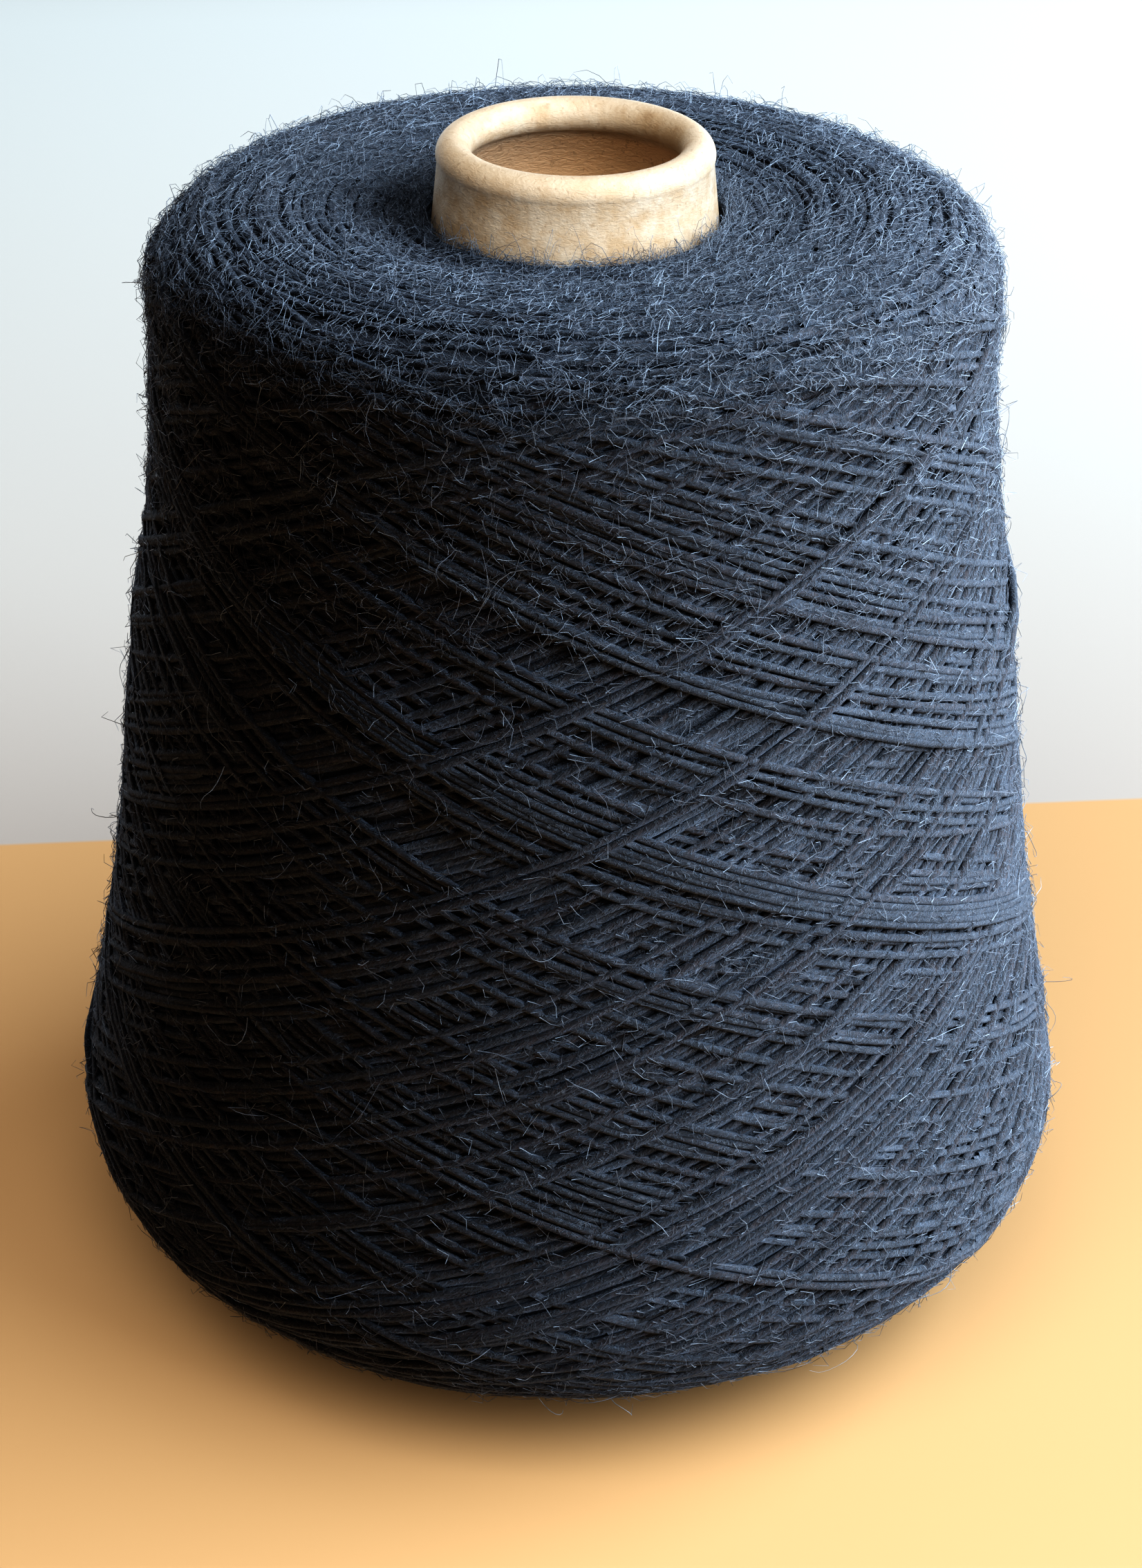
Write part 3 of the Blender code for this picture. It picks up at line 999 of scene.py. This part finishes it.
class MakeStage(bpy.types.Operator):
    """Set the camera, the floor and the light"""

    bl_idname = "yarn_cone.make_stage"
    bl_label = "Make stage"

    def execute(self, context):
        settings = context.scene.stage_settings
        place_camera(settings)
        lay_floor(settings)
        set_light(settings)
        return {"FINISHED"}


INSIDE_RINGS = (0.155, 0.11, 0.06)  # heights of the rings that the paper wall is spun with
OUTSIDE_RINGS = (0.04, 0.08, 0.12, 0.15, 0.158, 0.163)
FOOT_BEVEL = 0.0004
ROLL_START, ROLL_END = math.radians(-23.9), math.radians(272.3)
ROLL_STEPS = 32


class MakePaperCone(bpy.types.Operator):
    """Roll the paper cone with its curled rim"""

    bl_idname = "yarn_cone.make_paper_cone"
    bl_label = "Make paper cone"

    def execute(self, context):
        sizes = context.scene.paper_sizes
        slope = math.tan(sizes.half_angle)
        neck = sizes.nose_radius - sizes.neck_step
        roll_radius, roll_height = sizes.nose_radius - sizes.roll, sizes.length - sizes.roll

        def outside(height):
            return neck + (roll_height - height) * slope

        line = [(outside(h) - sizes.wall, h) for h in (*INSIDE_RINGS, FOOT_BEVEL)]
        line += [(outside(0.0) - sizes.wall + FOOT_BEVEL, 0.0), (outside(0.0) - FOOT_BEVEL, 0.0)]
        line += [(outside(h), h) for h in (FOOT_BEVEL, *OUTSIDE_RINGS)]
        for k in range(ROLL_STEPS + 1):
            angle = ROLL_START + (ROLL_END - ROLL_START) * k / ROLL_STEPS
            across, up = sizes.roll * math.cos(angle), sizes.roll * math.sin(angle)
            line.append((roll_radius + across, roll_height + up))
        mesh = spun_mesh("paper_tube", line, sizes.steps)
        add_piece("paper_tube", mesh, paper_finish(sizes), "paper_cone")
        return {"FINISHED"}


BODY_STATIONS, BODY_STEPS = 110, 128
BODY_EDGE = 0.6  # mm


class MakeWoolBody(bpy.types.Operator):
    """Spin the wool body that shows between the strands"""

    bl_idname = "yarn_cone.make_wool_body"
    bl_label = "Make wool body"

    def execute(self, context):
        sizes = context.scene.yarn_sizes
        winding = the_winding()
        surface = winding.surface
        stations = np.linspace(BODY_EDGE, surface.length - BODY_EDGE, BODY_STATIONS)
        share = np.interp(winding.relief(stations), [winding.TOP_RELIEF, winding.SIDE_RELIEF], [0.5, 1.0])
        points = surface.place(np.zeros(len(stations)), stations, -share * sizes.body_depth / MM)
        line = [(radius, height) for radius, _, height in points]
        line[0] = (surface.r[0] * MM, line[0][1])
        line[-1] = (surface.r[-1] * MM, line[-1][1])
        mesh = spun_mesh("wool_body", line, BODY_STEPS)
        add_piece("wool_body", mesh, body_finish(sizes), "wound_yarn")
        return {"FINISHED"}


LAYER_TRIANGLES = 170000  # about the most in one piece


class WindStrands(bpy.types.Operator):
    """Wind the strands of yarn over the body"""

    bl_idname = "yarn_cone.wind_strands"
    bl_label = "Wind strands"

    def execute(self, context):
        sizes = context.scene.yarn_sizes
        winding = the_winding()
        surface, radius = winding.surface, sizes.strand_thickness / 2
        rng = np.random.default_rng(SEED + 1)
        finish = wool_finish(sizes)
        layers, used = [[]], 0
        limit = LAYER_TRIANGLES // (2 * sizes.strand_sides)
        for line in strand_lines(winding.seen_runs(), surface, radius, rng):
            if used + len(line[0]) > limit:
                layers.append([])
                used = 0
            layers[-1].append(line)
            used += len(line[0]) + 1
        base = strand_lines(winding.base, surface, radius, rng, BASE_SLACK)
        add_piece("strands_base", thread_mesh("strands_base", base, 4), finish, "wound_yarn")
        for k, layer in enumerate(layers):
            name = f"strands_layer_{k + 1}"
            mesh = thread_mesh(name, layer, sizes.strand_sides)
            add_piece(name, mesh, finish, "wound_yarn")
        return {"FINISHED"}


class FluffHairs(bpy.types.Operator):
    """Scatter the loose hairs over the wool"""

    bl_idname = "yarn_cone.fluff_hairs"
    bl_label = "Fluff hairs"

    def execute(self, context):
        sizes = context.scene.yarn_sizes
        winding = the_winding()
        surface = winding.surface
        rng = np.random.default_rng(SEED + 2)
        finish = hair_finish(sizes)
        fibres = fibre_lines(winding.seen_runs(), surface, sizes.strand_thickness / 2, rng, sizes.fibres)
        add_piece("fibres", thread_mesh("fibres", fibres, 3), finish, "wound_yarn")
        edge, foot = surface.shoulder + 5, surface.length - 1
        top = {"count": sizes.top_hairs, "first": 0.5, "last": edge, "thick": 0.05}
        side = {"lift": 0.4, "thick": 0.05, "steps": 3}
        sets = {
            "hairs_top_1": dict(lift=0.6, combed=0.45, **top),
            "hairs_top_2": dict(lift=0.3, combed=0.75, **top),
            "hairs_neck": dict(
                count=sizes.neck_hairs, first=0.3, last=3.5, lift=1.0, thick=0.034, combed=0.2
            ),
            "hairs_shoulder": dict(count=sizes.shoulder_hairs, first=edge - 5, last=edge + 30, **side),
            "hairs_side": dict(count=sizes.side_hairs, first=edge + 25, last=foot, **side),
            "hairs_long": dict(
                count=sizes.long_hairs, first=1.0, last=foot, long=(4.0, 9.0), lift=1.3, thick=0.06,
                steps=9,
            ),
        }
        for name, how in sets.items():
            mesh = thread_mesh(name, hair_lines(surface, winding, rng, **how), 3)
            add_piece(name, mesh, finish, "wound_yarn")
        return {"FINISHED"}


class YARN_PT_cone(bpy.types.Panel):
    """Lists the steps in the order they are made"""

    bl_idname = "YARN_PT_cone"
    bl_label = "Yarn cone"
    bl_space_type = "VIEW_3D"
    bl_region_type = "UI"
    bl_category = "Yarn cone"

    def draw(self, context):
        for step in STEPS:
            self.layout.operator(step.bl_idname)
        for group in ("yarn_sizes", "paper_sizes", "stage_settings"):
            settings = getattr(context.scene, group)
            for name in settings.__annotations__:
                self.layout.prop(settings, name)


STEPS = (MakePaperCone, MakeWoolBody, WindStrands, FluffHairs, MakeStage)
SETTINGS = {"yarn_sizes": YarnSizes, "paper_sizes": PaperSizes, "stage_settings": StageSettings}
CLASSES = (*SETTINGS.values(), *STEPS, YARN_PT_cone)


def register():
    for made in CLASSES:
        bpy.utils.register_class(made)
    for name, group in SETTINGS.items():
        setattr(bpy.types.Scene, name, PointerProperty(type=group))


def unregister():
    for name in SETTINGS:
        delattr(bpy.types.Scene, name)
    for made in reversed(CLASSES):
        bpy.utils.unregister_class(made)


def main():
    bpy.context.view_layer.update()
    register()
    for step in STEPS:
        space, name = step.bl_idname.split(".")
        getattr(getattr(bpy.ops, space), name)()
    bpy.context.view_layer.update()


if __name__ == "__main__":
    main()
